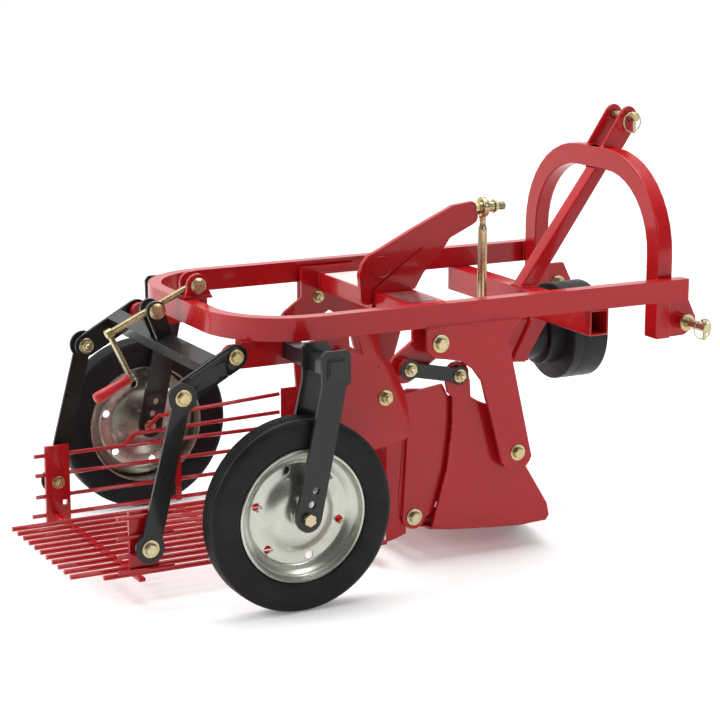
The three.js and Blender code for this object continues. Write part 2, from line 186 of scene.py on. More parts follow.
def smooth(piece, angle=34):
    pick(piece)
    bpy.ops.object.shade_smooth_by_angle(angle=math.radians(angle))
    weights = piece.modifiers.new("weights", "WEIGHTED_NORMAL")
    weights.keep_sharp = True
    weights.weight = 60
    bpy.ops.object.modifier_apply(modifier=weights.name)


def stand(piece, centre, direction=(0, 0, 1), spin=0, size=1.0):
    """Turn a piece made along +Z to a direction, and set it in its place."""
    turn = Vector(direction).normalized().to_track_quat("Z", "Y").to_matrix().to_4x4()
    place = Matrix.Translation(Vector(centre)) @ turn @ Matrix.Rotation(spin, 4, "Z")
    piece.data.transform(place @ Matrix.Scale(size, 4))
    piece.data.update()


def dress(piece, name, body, finish, nodes=()):
    """Name a piece, give it its finish, and let it ride on a body."""
    piece.name = name
    piece.data.name = name
    piece.data.materials.clear()
    piece.data.materials.append(finish["material"])
    if nodes:
        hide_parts(*nodes)
    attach(piece, body)
    return piece


print("finishing tools ready")

# %% [markdown]
# ## Making a finish
# Each finish is a small tree of shader nodes around one Principled shader.
# Soft noise on the object's own coordinates changes the colour and the gloss a
# little from place to place, and a finer noise gives the bump. Values that are
# the same all over are typed straight into the shader.

# %% A recipe for a finish


def new_finish(name, slot, **values):
    material = bpy.data.materials.new(name)
    material.use_nodes = True
    tree = material.node_tree
    shader = tree.nodes["Principled BSDF"]
    for socket, value in values.items():
        shader.inputs[socket.replace("_", " ")].default_value = value
    return {"material": material, "tree": tree, "shader": shader, "slot": slot}


def noise(finish, scale, detail=3.0, rough=0.5, stretch=(1, 1, 1)):
    tree = finish["tree"]
    place = tree.nodes.new("ShaderNodeTexCoord")
    mapping = tree.nodes.new("ShaderNodeMapping")
    mapping.inputs["Scale"].default_value = stretch
    texture = tree.nodes.new("ShaderNodeTexNoise")
    texture.inputs["Scale"].default_value = scale
    texture.inputs["Detail"].default_value = detail
    texture.inputs["Roughness"].default_value = rough
    tree.links.new(place.outputs["Object"], mapping.inputs["Vector"])
    tree.links.new(mapping.outputs["Vector"], texture.inputs["Vector"])
    return texture.outputs["Fac"]


def ramp(finish, source, stops, target):
    """Lead a texture through colour stops into a socket of the shader."""
    tree = finish["tree"]
    node = tree.nodes.new("ShaderNodeValToRGB")
    while len(node.color_ramp.elements) < len(stops):
        node.color_ramp.elements.new(0.5)
    for element, (place, colour) in zip(node.color_ramp.elements, stops):
        element.position = place
        element.color = (*colour, 1) if len(colour) == 3 else (colour[0],) * 3 + (1,)
    tree.links.new(source, node.inputs["Fac"])
    tree.links.new(node.outputs["Color"], finish["shader"].inputs[target])


def bump(finish, *layers):
    """Stack bumps, each a texture with its strength and its height."""
    tree = finish["tree"]
    below = None
    for source, strength, height in layers:
        node = tree.nodes.new("ShaderNodeBump")
        node.inputs["Strength"].default_value = strength
        node.inputs["Distance"].default_value = height
        tree.links.new(source, node.inputs["Height"])
        if below:
            tree.links.new(below, node.inputs["Normal"])
        below = node.outputs["Normal"]
    tree.links.new(below, finish["shader"].inputs["Normal"])


print("finish recipe ready")

# %% [markdown]
# ## Red gloss paint
# The frame is sprayed in one thick coat of bright red. Sprayed gloss is never
# quite level: it has a faint orange-peel texture, which only shows in the
# reflections. A clear coat over the colour gives the second, sharper shine.

# %% Red paint
RED = new_finish(
    "Red gloss paint", "red_paint",
    Metallic=0.0, Specular_IOR_Level=0.22, Coat_Weight=0.27, Coat_Roughness=0.04,
)
ramp(RED, noise(RED, 5.0, 4.0), [
    (0.3, (0.37, 0.0055, 0.0085)), (0.7, (0.43, 0.008, 0.0115)),
], "Base Color")
ramp(RED, noise(RED, 11.0, 5.0, 0.6), [(0.3, (0.20,)), (0.75, (0.30,))], "Roughness")
bump(RED, (noise(RED, 260.0, 2.0), 0.05, 0.0004))
print("made", RED["material"].name)

# %% [markdown]
# ## Black satin paint
# The levers, links and wheel legs are painted black, duller than the red and
# with a finer grain. A little grey in the colour keeps the shape readable.

# %% Black paint
BLACK = new_finish(
    "Black satin paint", "black_paint",
    Metallic=0.0, Specular_IOR_Level=0.2, Coat_Weight=0.3, Coat_Roughness=0.1,
)
ramp(BLACK, noise(BLACK, 8.0, 4.0), [
    (0.3, (0.010, 0.0095, 0.009)), (0.7, (0.018, 0.017, 0.016)),
], "Base Color")
ramp(BLACK, noise(BLACK, 30.0, 4.0), [(0.3, (0.26,)), (0.7, (0.36,))], "Roughness")
bump(BLACK, (noise(BLACK, 420.0, 3.0), 0.10, 0.0005))
print("made", BLACK["material"].name)

# %% [markdown]
# ## Rubber
# Tyre rubber is dark grey, not black, and spreads light instead of mirroring
# it. Fine grain roughens it, and a trace of dust sits on it in soft clouds.

# %% Rubber
RUBBER = new_finish("Tyre rubber", "tyre", Metallic=0.0, Specular_IOR_Level=0.14)
ramp(RUBBER, noise(RUBBER, 14.0, 5.0, 0.6), [
    (0.35, (0.008, 0.008, 0.009)), (0.72, (0.016, 0.016, 0.018)),
], "Base Color")
ramp(RUBBER, noise(RUBBER, 40.0, 4.0), [(0.3, (0.34,)), (0.7, (0.48,))], "Roughness")
bump(RUBBER, (noise(RUBBER, 500.0, 3.0), 0.18, 0.0005))
print("made", RUBBER["material"].name)

# %% [markdown]
# ## Zinc plate
# The wheel discs and fasteners are plated. Plain zinc is pale with a greenish
# cast; yellow zinc is straw-coloured with faint rainbow clouds where the
# bath was uneven. Both are metals, so the colour lives in the reflection.

# %% Pale zinc for the wheel discs
ZINC = new_finish("Pale zinc plate", "zinc_disc", Metallic=0.86)
ramp(ZINC, noise(ZINC, 9.0, 3.0, 0.55), [
    (0.30, (0.43, 0.44, 0.37)), (0.46, (0.50, 0.50, 0.44)),
    (0.60, (0.46, 0.48, 0.42)), (0.74, (0.52, 0.50, 0.41)),
], "Base Color")
ramp(ZINC, noise(ZINC, 20.0, 2.0), [(0.3, (0.24,)), (0.7, (0.31,))], "Roughness")
bump(ZINC, (noise(ZINC, 14.0, 1.0), 0.02, 0.0006))
print("made", ZINC["material"].name)

# %% Yellow zinc for bolts, pins and the connecting rod
GOLD = new_finish("Yellow zinc plate", "yellow_zinc", Metallic=0.9)
ramp(GOLD, noise(GOLD, 16.0, 2.0, 0.5), [
    (0.30, (0.44, 0.35, 0.17)), (0.48, (0.54, 0.45, 0.25)),
    (0.60, (0.50, 0.45, 0.29)), (0.72, (0.52, 0.37, 0.22)),
], "Base Color")
ramp(GOLD, noise(GOLD, 120.0, 3.0), [(0.3, (0.20,)), (0.7, (0.32,))], "Roughness")
bump(GOLD, (noise(GOLD, 60.0, 1.0), 0.02, 0.0001))
print("made", GOLD["material"].name)

# %% [markdown]
# ## Plastic, bare steel and labels
# The shaft guard is black plastic with a fine moulded grain, and the crank's
# grip is red plastic. The share's edge and the drive shaft are bare steel
# with marks that run one way, which the Mapping node stretches. The labels
# are left blank.

# %% Guard, grip, steel and label
GUARD = new_finish("Black guard plastic", "guard_plastic", Metallic=0.0, Specular_IOR_Level=0.25)
ramp(GUARD, noise(GUARD, 7.0, 3.0), [
    (0.3, (0.007, 0.007, 0.008)), (0.7, (0.012, 0.012, 0.013)),
], "Base Color")
ramp(GUARD, noise(GUARD, 90.0, 3.0), [(0.3, (0.36,)), (0.7, (0.50,))], "Roughness")
bump(GUARD, (noise(GUARD, 700.0, 2.0), 0.16, 0.0004))

GRIP = new_finish("Red grip plastic", None, Metallic=0.0, Coat_Weight=0.2, Coat_Roughness=0.2)
ramp(GRIP, noise(GRIP, 30.0, 3.0), [
    (0.3, (0.42, 0.008, 0.014)), (0.7, (0.52, 0.014, 0.020)),
], "Base Color")
ramp(GRIP, noise(GRIP, 60.0, 3.0), [(0.3, (0.28,)), (0.7, (0.42,))], "Roughness")
bump(GRIP, (noise(GRIP, 260.0, 2.0), 0.12, 0.0005))

STEEL = new_finish("Bare dark steel", "dark_steel", Metallic=0.85)
DRAWN_OUT = (1, 8, 8)
ramp(STEEL, noise(STEEL, 26.0, 6.0, 0.65, (1, 6, 6)), [
    (0.3, (0.12, 0.115, 0.115)), (0.7, (0.24, 0.23, 0.23)),
], "Base Color")
ramp(STEEL, noise(STEEL, 40.0, 5.0, 0.6, DRAWN_OUT), [(0.3, (0.34,)), (0.7, (0.56,))], "Roughness")
bump(STEEL, (noise(STEEL, 90.0, 4.0, 0.6, DRAWN_OUT), 0.12, 0.0005))

LABEL = new_finish("Blank label", None, Metallic=0.0, Coat_Weight=0.3, Coat_Roughness=0.15)
ramp(LABEL, noise(LABEL, 30.0, 2.0), [
    (0.3, (0.70, 0.69, 0.67)), (0.7, (0.78, 0.77, 0.75)),
], "Base Color")
ramp(LABEL, noise(LABEL, 80.0, 2.0), [(0.3, (0.34,)), (0.7, (0.44,))], "Roughness")
DARK_LABEL = new_finish("Dark label", None, Metallic=0.0, Coat_Weight=0.3, Coat_Roughness=0.15)
ramp(DARK_LABEL, noise(DARK_LABEL, 60.0, 3.0), [
    (0.35, (0.10, 0.035, 0.035)), (0.65, (0.20, 0.07, 0.07)),
], "Base Color")
ramp(DARK_LABEL, noise(DARK_LABEL, 80.0, 2.0), [(0.3, (0.30,)), (0.7, (0.42,))], "Roughness")
print("finishes:", len(bpy.data.materials))

# %% [markdown]
# ## Welded plates and tubes
# Plates, tubes and levers already have their true outline as solids. They were
# cut with square edges, so a copy of each is merged into one clean skin, its
# flat faces are joined up, and its edges are rounded. The solid itself is
# hidden behind its copy. Cut plates get a small edge; rolled tubes a larger
# one, as their corners are round from the mill.

# %% A rounded copy of a solid


def rounded(node, body, finish, width, segments=2, name=None):
    source = frame["nodes"][node]
    piece = source.copy()
    piece.data = source.data.copy()
    bpy.context.scene.collection.objects.link(piece)
    piece.parent = None
    piece.hide_render = False
    piece.hide_viewport = False
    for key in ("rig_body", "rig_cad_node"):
        if key in piece:
            del piece[key]
    open_mesh(piece, "VERT", True)
    bpy.ops.mesh.remove_doubles(threshold=0.00002)
    bpy.ops.mesh.dissolve_limited(angle_limit=math.radians(0.6))
    close_mesh()
    bevel(piece, width, segments)
    smooth(piece)
    return dress(piece, name or f"{node}_finished", body, finish, [node])


def recolour(piece, finish, test):
    """Give the faces that pass the test a second finish."""
    piece.data.materials.append(finish["material"])
    index = len(piece.data.materials) - 1
    count = 0
    for face in piece.data.polygons:
        if test(face.center, face.normal):
            face.material_index = index
            count += 1
    return count


body_of_node = {n: b for b, names in record["behaviour"]["bodies"].items() for n in names}
print("solids to round:", len(body_of_node))

# %% Frame, arch and brackets
TUBE_EDGE = 4.0
BEAM_EDGE = 3.0
BRACKET_EDGE = 2.0
LEVER_EDGE = 1.6
PLATE_EDGE = 1.1
PIN_EDGE = 1.0
STEEL_EDGE = 0.8
edges = {
    "main_frame": TUBE_EDGE,
    "hitch_arch": TUBE_EDGE,
    "front_cross_tube": TUBE_EDGE,
    "mast_strut": TUBE_EDGE,
    "rocker_beam": BEAM_EDGE,
    "rear_bracket_right": BRACKET_EDGE,
    "rear_bracket_left": BRACKET_EDGE,
}
red_nodes = [
    "main_frame", "hitch_arch", "hitch_plate_right", "hitch_plate_left",
    "front_cross_tube", "mast_strut", "gearbox", "side_leg_right", "side_leg_left",
    "side_shield", "rear_bracket_right", "rear_bracket_left", "rocker_beam", "rocker_arm",
    "share_floor", "share_side_right", "share_side_left", "sieve_arm_right",
    "sieve_arm_left", "sieve_floor", "sieve_side_grid", "sieve_bracket_right",
]
pieces = {}
for node in red_nodes:
    pieces[node] = rounded(node, body_of_node[node], RED, edges.get(node, PLATE_EDGE))
print("red pieces:", len(pieces))

# %% Legs, levers and links in black
black_nodes = [
    "wheel_fork_right", "wheel_fork_left", "drive_link_right", "drive_link_left",
    "lift_tube", "lift_lever_right", "lift_lever_left", "hanger_link_right",
    "hanger_link_left",
]
for node in black_nodes:
    pieces[node] = rounded(node, body_of_node[node], BLACK, LEVER_EDGE)
for node in ("pto_shaft", "share_blade", "sieve_pivot_tube"):
    pieces[node] = rounded(node, body_of_node[node], STEEL, STEEL_EDGE)
for node in ("top_link_pin", "axle_bolt_right", "axle_bolt_left"):
    pieces[node] = rounded(node, body_of_node[node], GOLD, PIN_EDGE)
print("pieces so far:", len(pieces))

# %% [markdown]
# ## Pins show bare metal
# Where a pin was drawn in one piece with its plate, only the pin's faces are
# given the yellow zinc: the paint stops where the pin begins.

# %% Recolour the pins
HITCH_PLATE_FACE = 0.2915
LEG_FACE = 0.3130
BRACKET_FACE = 0.2670


def rod_bolt(centre, normal):
    """The bolt through the rod's eye: past the arm's tip, or round its root."""
    past_tip = centre.x > ROD_EYE.x + 0.001
    return past_tip or (centre.x > ROD_EYE.x - 0.007 and abs(normal.x) < 0.4)


for side, s in SIDES:
    plate = pieces[f"hitch_plate_{side}"]
    print(plate.name, recolour(plate, GOLD, lambda c, n, s=s: s * c.y > HITCH_PLATE_FACE))
    leg = pieces[f"side_leg_{side}"]
    print(leg.name, recolour(leg, GOLD, lambda c, n, s=s: s * c.y < LEG_FACE))
    bracket = pieces[f"rear_bracket_{side}"]
    print(bracket.name, recolour(bracket, GOLD, lambda c, n, s=s: s * c.y > BRACKET_FACE))
arm = pieces["rocker_arm"]
print(arm.name, recolour(arm, GOLD, rod_bolt))

# %% [markdown]
# ## A lathe
# Tyres, discs, washers and the shaft guard are all turned shapes. The outline
# is drawn from one corner to the next by extruding a single vertex, as with
# the E key, and then spun a full circle. Merging the seam closes the skin.

# %% Turn an outline


def lathe(outline, steps=64, sharp=34):
    """Spin a closed outline of (radius, height) in millimetres about +Z."""
    clear()
    bpy.ops.mesh.primitive_plane_add(size=0.001, location=(0, 0, 0))
    piece = bpy.context.object
    open_mesh(piece, "VERT", True)
    bpy.ops.mesh.merge(type="CENTER")
    bpy.ops.mesh.select_all(action="SELECT")
    radius, height = outline[0]
    bpy.ops.transform.translate(value=(radius * MM, 0, height * MM))
    for next_radius, next_height in list(outline[1:]) + [outline[0]]:
        step = ((next_radius - radius) * MM, 0, (next_height - height) * MM)
        bpy.ops.mesh.extrude_region_move(TRANSFORM_OT_translate={"value": step})
        radius, height = next_radius, next_height
    bpy.ops.mesh.select_all(action="SELECT")
    bpy.ops.mesh.remove_doubles(threshold=0.000005)
    bpy.ops.mesh.spin(steps=steps, angle=2 * math.pi, center=(0, 0, 0), axis=(0, 0, 1))
    bpy.ops.mesh.select_all(action="SELECT")
    bpy.ops.mesh.remove_doubles(threshold=0.000005)
    bpy.ops.mesh.normals_make_consistent(inside=False)
    close_mesh()
    smooth(piece, sharp)
    return piece


def cut_with(piece, cutter):
    """Cut one shape out of another with a boolean, and throw the cutter away."""
    pick(piece)
    cut = piece.modifiers.new("cut", "BOOLEAN")
    cut.object = cutter
    cut.operation = "DIFFERENCE"
    bpy.ops.object.modifier_apply(modifier=cut.name)
    bpy.data.objects.remove(cutter)


def copy_of(master):
    """A copy with its own mesh."""
    piece = master.copy()
    piece.data = master.data.copy()
    bpy.context.scene.collection.objects.link(piece)
    return piece


print("lathe ready")

# %% [markdown]
# ## The tyre
# A solid rubber tyre, 412 mm across, with five straight grooves around its
# tread and rounded shoulders. The outline goes up one side, across the tread
# with its grooves, and down the other side to the rim.

# %% Tyre
TYRE_R = 206
SHOULDER = [
    (142, -24), (144, -27), (148, -29), (156, -29.8),
    (176, -30), (190, -29.4), (196, -28.4), (200.5, -26.4),
]
GROOVES = (-16, -8, 0, 8, 16)


def tread():
    points = [(203.6, -23.6), (TYRE_R - 0.8, -20.6)]
    for middle in GROOVES:
        crown = TYRE_R - 0.5 * abs(middle) / 16
        points += [(crown, middle - 1.9), (TYRE_R - 3.4, middle - 1.1)]
        points += [(TYRE_R - 3.4, middle + 1.1), (crown, middle + 1.9)]
    return points + [(TYRE_R - 0.8, 20.6), (203.6, 23.6)]


tyre_outline = SHOULDER + tread() + [(r, -h) for r, h in reversed(SHOULDER)]
tyre = lathe(tyre_outline, 128, 40)
print("tyre faces:", len(tyre.data.polygons))

# %% [markdown]
# ## The wheel disc
# The disc is one pressing: a rolled lip that holds the tyre, a deep groove, a
# raised ring with six holes, and a domed middle with the hub through it. The
# six holes are cut with a boolean, whose cutter is one cylinder copied round.

# %% Disc
LIP = [(141.5, -24.5), (141.7, -27.6), (139.4, -29.4), (136.2, -28.4), (134.8, -25.0)]
DISH = [
    (133.2, -18.5), (129.5, -13.5), (126.0, -11.4), (121, -9.4), (116, -5.6), (112, -1.8),
    (109, 0.0),
]
RING = [
    (106, 0.4), (90, 0.4), (82, -0.8), (76, -3.4), (70, -7.6),
    (62, -11.4), (52, -14.2), (38, -15.6), (24, -16.4),
]
HUB = [(23, -17.2), (22.4, -37.2), (21.2, -38.0), (9.6, -38.0), (8.6, -37.0)]
BACK = [
    (8.6, 37.0), (9.6, 38.0), (21.2, 38.0), (22.4, 37.2), (23, -11.6), (38, -11.2),
    (50, -9.8), (61, -7.2), (71, -2.8), (80, 3.0), (90, 4.6), (106, 4.6), (111, 3.2),
    (116, -1.2), (121, -5.2), (127, -7.0), (131.5, -9.5), (136.5, -14.5), (137.8, -20.0),
    (138.2, 24.0), (138.8, 26.0), (141.3, 26.4), (141.6, 25.0),
]
HOLES = 6
HOLE_RADIUS = 0.0088
HOLE_CIRCLE = 0.098
disc = lathe(LIP + DISH + RING + HUB + BACK, 96, 40)


def disc_holes():
    clear()
    for index in range(HOLES):
        turn = index * 2 * math.pi / HOLES + math.pi / 4
        place = (HOLE_CIRCLE * math.cos(turn), -HOLE_CIRCLE * math.sin(turn), 0)
        bpy.ops.mesh.primitive_cylinder_add(
            vertices=32, radius=HOLE_RADIUS, depth=0.05, location=place)
        bpy.context.object["cutter"] = True
    clear()
    cutters = [o for o in bpy.data.objects if "cutter" in o]
    for cutter in cutters:
        cutter.select_set(True)
    bpy.context.view_layer.objects.active = cutters[0]
    bpy.ops.object.join()
    bpy.ops.object.transform_apply(location=True, rotation=True, scale=True)
    return bpy.context.object


cut_with(disc, disc_holes())
bevel(disc, 0.5, 1, 60)
smooth(disc, 40)
print("disc faces:", len(disc.data.polygons))

# %% Two wheels
LEFT_WHEEL_TURN = 0.48
for side, s in SIDES:
    centre = WHEEL_CENTRE[side]
    for master, word, finish in ((tyre, "tyre", RUBBER), (disc, "rim", ZINC)):
        piece = copy_of(master)
        stand(piece, centre, (0, -s, 0), LEFT_WHEEL_TURN if s > 0 else 0)
        dress(piece, f"{word}_{side}_finished", f"wheel_{side}", finish, [f"{word}_{side}"])
for master in (tyre, disc):
    bpy.data.objects.remove(master)
print("wheels done")

# %% [markdown]
# ## The shaft guard
# A plastic drum shields the drive shaft. It steps up twice towards its open
# mouth, and each step has a small radius where the mould was rounded. A notch
# is cut where its neck passes under the front cross tube.

# %% Guard
guard = lathe([
    (21, 780.3), (61, 780.3), (63, 782.3), (63, 833), (64, 836), (74, 838), (76, 840),
    (76, 873), (77, 876), (113, 879), (116, 882), (116, 903), (114.8, 905), (114.8, 909),
    (116, 911), (116, 970), (115, 972), (112, 972), (111, 970), (111, 885), (109, 882.5),
    (73, 880), (71, 877), (71, 843), (69, 841), (60, 839), (58, 836), (58, 788),
    (56, 786), (21, 786),
], 80)
stand(guard, Vector((AXLE_X * MM, 0, DRIVE_Z)), (1, 0, 0))
clear()
bpy.ops.mesh.primitive_cube_add(
    size=1, location=at(808, 0, 489), scale=(0.0512, 0.09, 0.030))
notch = bpy.context.object
bpy.ops.object.transform_apply(location=True, rotation=True, scale=True)
cut_with(guard, notch)
smooth(guard)
dress(guard, "pto_guard_finished", "frame", GUARD, ["pto_guard"])
print("guard faces:", len(guard.data.polygons))

# %% [markdown]
# ## Cut-outs
# The levers have a square recess near their pivot, the rear bracket a small
# square hole, and the shield a drilled one. Each is cut with a cube or a
# cylinder that is thrown away afterwards.

# %% Cut the openings


def square_cutter(centre, width, turn, depth=0.03):
    clear()
    bpy.ops.mesh.primitive_cube_add(
        size=1, location=centre, rotation=(0, -turn, 0),
        scale=(width[0] * MM, depth, width[1] * MM))
    bpy.ops.object.transform_apply(location=True, rotation=True, scale=True)
    return bpy.context.object


for side, s in SIDES:
    recess = square_cutter(at(-97, s * 282, 479), (25, 26), 0.12, 0.014)
    cut_with(pieces[f"lift_lever_{side}"], recess)
cut_with(pieces["sieve_side_grid"], square_cutter(at(-259, 271, 75), (11, 13), 0))
clear()
bpy.ops.mesh.primitive_cylinder_add(
    vertices=24, radius=0.0034, depth=0.03, location=at(255, -304, 457),
    rotation=(math.radians(90), 0, 0))
drill = bpy.context.object
bpy.ops.object.transform_apply(location=True, rotation=True, scale=True)
cut_with(pieces["side_shield"], drill)
print("openings cut")

# %% [markdown]
# ## Lips and splines
# A lip runs along the upper edge of each lever, where the plate is folded
# outwards for stiffness. The shaft's end has six splines, which grip the yoke.
# Both are bars with rounded edges: a cube drawn out to length, then bevelled.

# %% Lever lips and shaft splines


def bar_between(name, body, finish, start, end, width, height, edge=1.2):
    """A rounded bar from one point to another; width goes sideways, height up."""
    start, end = Vector(start), Vector(end)
    clear()
    size = ((end - start).length, width * MM, height * MM)
    bpy.ops.mesh.primitive_cube_add(size=1, location=(0, 0, 0), scale=size)
    piece = bpy.context.object
    bpy.ops.object.transform_apply(location=True, rotation=True, scale=True)
    bevel(piece, edge, 2)
    smooth(piece)
    turn = (end - start).to_track_quat("X", "Z").to_matrix().to_4x4()
    piece.data.transform(Matrix.Translation((start + end) / 2) @ turn)
    return dress(piece, name, body, finish)


SPLINES = 6
SPLINE_LENGTH = 0.046
SPLINE_RADIUS = 0.0172
spline_start = Matrix.Translation((at(908, 0, 0).x, 0, DRIVE_Z))
for side, s in SIDES:
    y = s * 285
    bar_between(
        f"lever_lip_rear_{side}", "lift", BLACK, at(-176, y, 472), at(-86, y, 521), 7, 6)
for index in range(SPLINES):
    turn = Matrix.Rotation(index * 2 * math.pi / SPLINES, 4, "X")
    piece = bar_between(
        f"spline_{index}", "power_shaft", STEEL, (0, 0, 0), (SPLINE_LENGTH, 0, 0), 6, 4, 0.6)
    piece.data.transform(spline_start @ turn @ Matrix.Translation((0, 0, SPLINE_RADIUS)))
print("lips and splines done")

# %% [markdown]
# ## Bolts, nuts and washers
# A hexagon head starts as a six-sided cylinder. Its top is inset and lifted a
# little, which gives the chamfer that a real head is turned with. The washer
# and the threaded end are turned on the lathe. Each kind is made once, along
# +Z with its seat at zero, and then copied to every place it is used.

# %% Hexagon bolt, nut and washer


def hexagon(radius, height, base=0.0):
    clear()
    bpy.ops.mesh.primitive_cylinder_add(
        vertices=6, radius=radius * MM, depth=height * MM,
        location=(0, 0, (base + height / 2) * MM))
    piece = bpy.context.object
    bpy.ops.object.transform_apply(location=True, rotation=True, scale=True)
    open_mesh(piece)
    select_faces(piece, lambda c, n: n.z > 0.9)
    bpy.ops.mesh.inset(thickness=radius * 0.13 * MM, depth=0)
    bpy.ops.transform.translate(value=(0, 0, radius * 0.09 * MM))
    close_mesh()
    bevel(piece, radius * 0.045, 2, 40)
    smooth(piece, 30)
    return piece


def joined(*parts):
    clear()
    for part in parts:
        part.select_set(True)
    bpy.context.view_layer.objects.active = parts[0]
    bpy.ops.object.join()
    return bpy.context.object


def washer(inner, outer, height):
    edge = 0.5
    return lathe([
        (inner, 0), (outer - edge, 0), (outer, edge), (outer, height - edge),
        (outer - edge, height), (inner, height),
    ], 40)


def thread(radius, base, top, pitch=2.0):
    """The end of a bolt: rings of thread, and a chamfered tip."""
    outline = [(0, base), (radius, base)]
    height = base
    while height + pitch < top - 1:
        outline += [(radius, height + pitch * 0.3), (radius * 0.88, height + pitch * 0.65)]
        height += pitch
        outline.append((radius, height))
    return lathe(outline + [(radius * 0.8, top), (0, top)], 24, 50)


bolt = joined(hexagon(14, 9, 3.2), washer(6, 20, 3.2))
nut = joined(hexagon(13.5, 11, 2.6), washer(6, 18, 2.6), thread(7.6, 12, 21))
small_bolt = joined(hexagon(10.5, 7, 2.4), washer(5, 14.5, 2.4))
small_nut = joined(hexagon(10, 8, 2.2), washer(5, 13.5, 2.2), thread(5.6, 9, 16))
masters = {"bolt": bolt, "nut": nut, "small_bolt": small_bolt, "small_nut": small_nut}
for kind, master in masters.items():
    print(kind, len(master.data.polygons), "faces")

# %% [markdown]
# ## Where the bolts sit
# The list names each fastener, the kind, the body it rides on, its seat and
# the way it faces. A pivot's bolt rides with the arm that turns round it, and
# both sides of the machine carry the same set.

# %% Set the fasteners


def seat(x_z, s, y):
    return Vector((x_z.x, s * y * MM, x_z.z))


def fasten(kind, name, body, place, direction, spin=0.2, size=1.0):
    piece = copy_of(masters[kind])
    stand(piece, place, direction, spin, size)
    dress(piece, name, body, GOLD)
    return piece


LEG_OUTSIDE = 324
LINK_OUTSIDE = 308
SIEVE_ARM_OUTSIDE = 282
LEVER_OUTSIDE = 283
HANGER_OUTSIDE = 298
FORK_INSIDE = 382
BEAM_INSIDE = 272
SHARE_INSIDE = 288
SIEVE_INSIDE = 266
HITCH_INSIDE = 260

count = 0
for side, s in SIDES:
    out = (0, s, 0)
    inward = (0, -s, 0)
    link, hanger = f"drive_link_{side}_body", f"hanger_{side}"
    axle = WHEEL_CENTRE[side]
    rows = [
        ("bolt", "rocker_bolt", "frame", seat(ROCKER_PIN, s, LEG_OUTSIDE), out, 1.0),
        ("bolt", "share_bolt", "frame", seat(SHARE_PIN, s, LEG_OUTSIDE), out, 0.92),
        ("small_nut", "link_bolt", link, seat(LINK_PIN, s, LINK_OUTSIDE), out, 1.15),
        ("small_nut", "link_foot_bolt", link, seat(LINK_FOOT, s, LINK_OUTSIDE), out, 1.1),
        ("bolt", "sieve_bolt", "pivot_tube", seat(SIEVE_PIN, s, SIEVE_ARM_OUTSIDE), out, 0.95),
        ("small_bolt", "lever_bolt", "frame", seat(LEVER_PIN, s, LEVER_OUTSIDE), out, 1.15),
        ("bolt", "hanger_bolt", hanger, seat(HANGER_PIN, s, HANGER_OUTSIDE), out, 0.9),
        ("bolt", "hanger_foot_bolt", hanger, seat(HANGER_FOOT, s, HANGER_OUTSIDE), out, 0.95),
        ("small_nut", "axle_nut", "frame", seat(axle, s, FORK_INSIDE), inward, 1.0),
        ("small_nut", "rocker_nut", "rocker", seat(ROCKER_PIN, s, BEAM_INSIDE), inward, 1.05),
        ("nut", "share_nut", "share", seat(SHARE_PIN, s, SHARE_INSIDE), inward, 0.95),
        ("small_nut", "link_nut", "rocker", seat(LINK_PIN, s, BEAM_INSIDE), inward, 1.0),
        ("small_nut", "link_foot_nut", "share", seat(LINK_FOOT, s, SHARE_INSIDE), inward, 1.0),
        ("small_nut", "hanger_nut", "lift", seat(HANGER_PIN, s, BEAM_INSIDE), inward, 1.3),
        ("nut", "hitch_nut", "frame", at(1070, s * HITCH_INSIDE, 475), inward, 1.15),
        ("small_nut", "hanger_foot_nut", "sieve", seat(HANGER_FOOT, s, SIEVE_INSIDE), inward, 1.1),
    ]
    for kind, word, body, place, direction, size in rows:
        fasten(kind, f"{word}_{side}", body, place, direction, 0.3, size)
        count += 1
fasten("nut", "shield_bolt", "frame", at(271, -308, 388), (0, -1, 0), 0.1, 0.95)
for master in masters.values():
    bpy.data.objects.remove(master)
print("fasteners:", count + 1)

# %% [markdown]
# ## Pins with spring rings
# The hitch pins are kept in place by linch pins: a short pin with a flat head,
# through a hole near the end, and a sprung wire ring that folds over it. The
# ring is a torus whose foot is pinched towards the pin.

# %% Linch pin


def linch_pin():
    shank = lathe([
        (0, -30), (3.2, -29), (4.2, -26), (4.2, 12), (7.4, 13), (8.2, 15), (8.2, 19),
        (7.0, 20.4), (0, 20.4),
    ], 28)
    clear()
    bpy.ops.mesh.primitive_torus_add(
        major_segments=56, minor_segments=10, major_radius=0.0235, minor_radius=0.0015,
        location=(0.003, -0.004, -0.003), rotation=(math.radians(90), 0, 0))
    ring = bpy.context.object
    bpy.ops.object.transform_apply(location=True, rotation=True, scale=True)
    open_mesh(ring, "VERT")
    mesh = bmesh.from_edit_mesh(ring.data)
    for corner in mesh.verts:
        corner.select_set(corner.co.z > 0.015)
    bmesh.update_edit_mesh(ring.data)
    bpy.ops.transform.translate(value=(0, 0.0035, 0))
    close_mesh()
    smooth(ring, 60)
    return joined(shank, ring)


linch = linch_pin()
for name, place in (
    ("linch_lower_right", at(1070, -362, 475)),
    ("linch_lower_left", at(1070, 362, 475)),
    ("linch_top", at(1070, -58, 919)),
):
    piece = copy_of(linch)
    turn = math.pi if place.y > 0 else 0
    stand(piece, place, (0, 0, 1), turn)
    dress(piece, name, "frame", GOLD)
bpy.data.objects.remove(linch)
collar = lathe([(11.3, 0), (19, 0), (20, 1), (20, 4), (19, 5), (11.3, 5)], 40)
for side, s in SIDES:
    piece = copy_of(collar)
    stand(piece, at(1070, s * 292.5, 475), (0, s, 0))
    dress(piece, f"hitch_collar_{side}", "frame", GOLD)
bpy.data.objects.remove(collar)
print("hitch pins done")

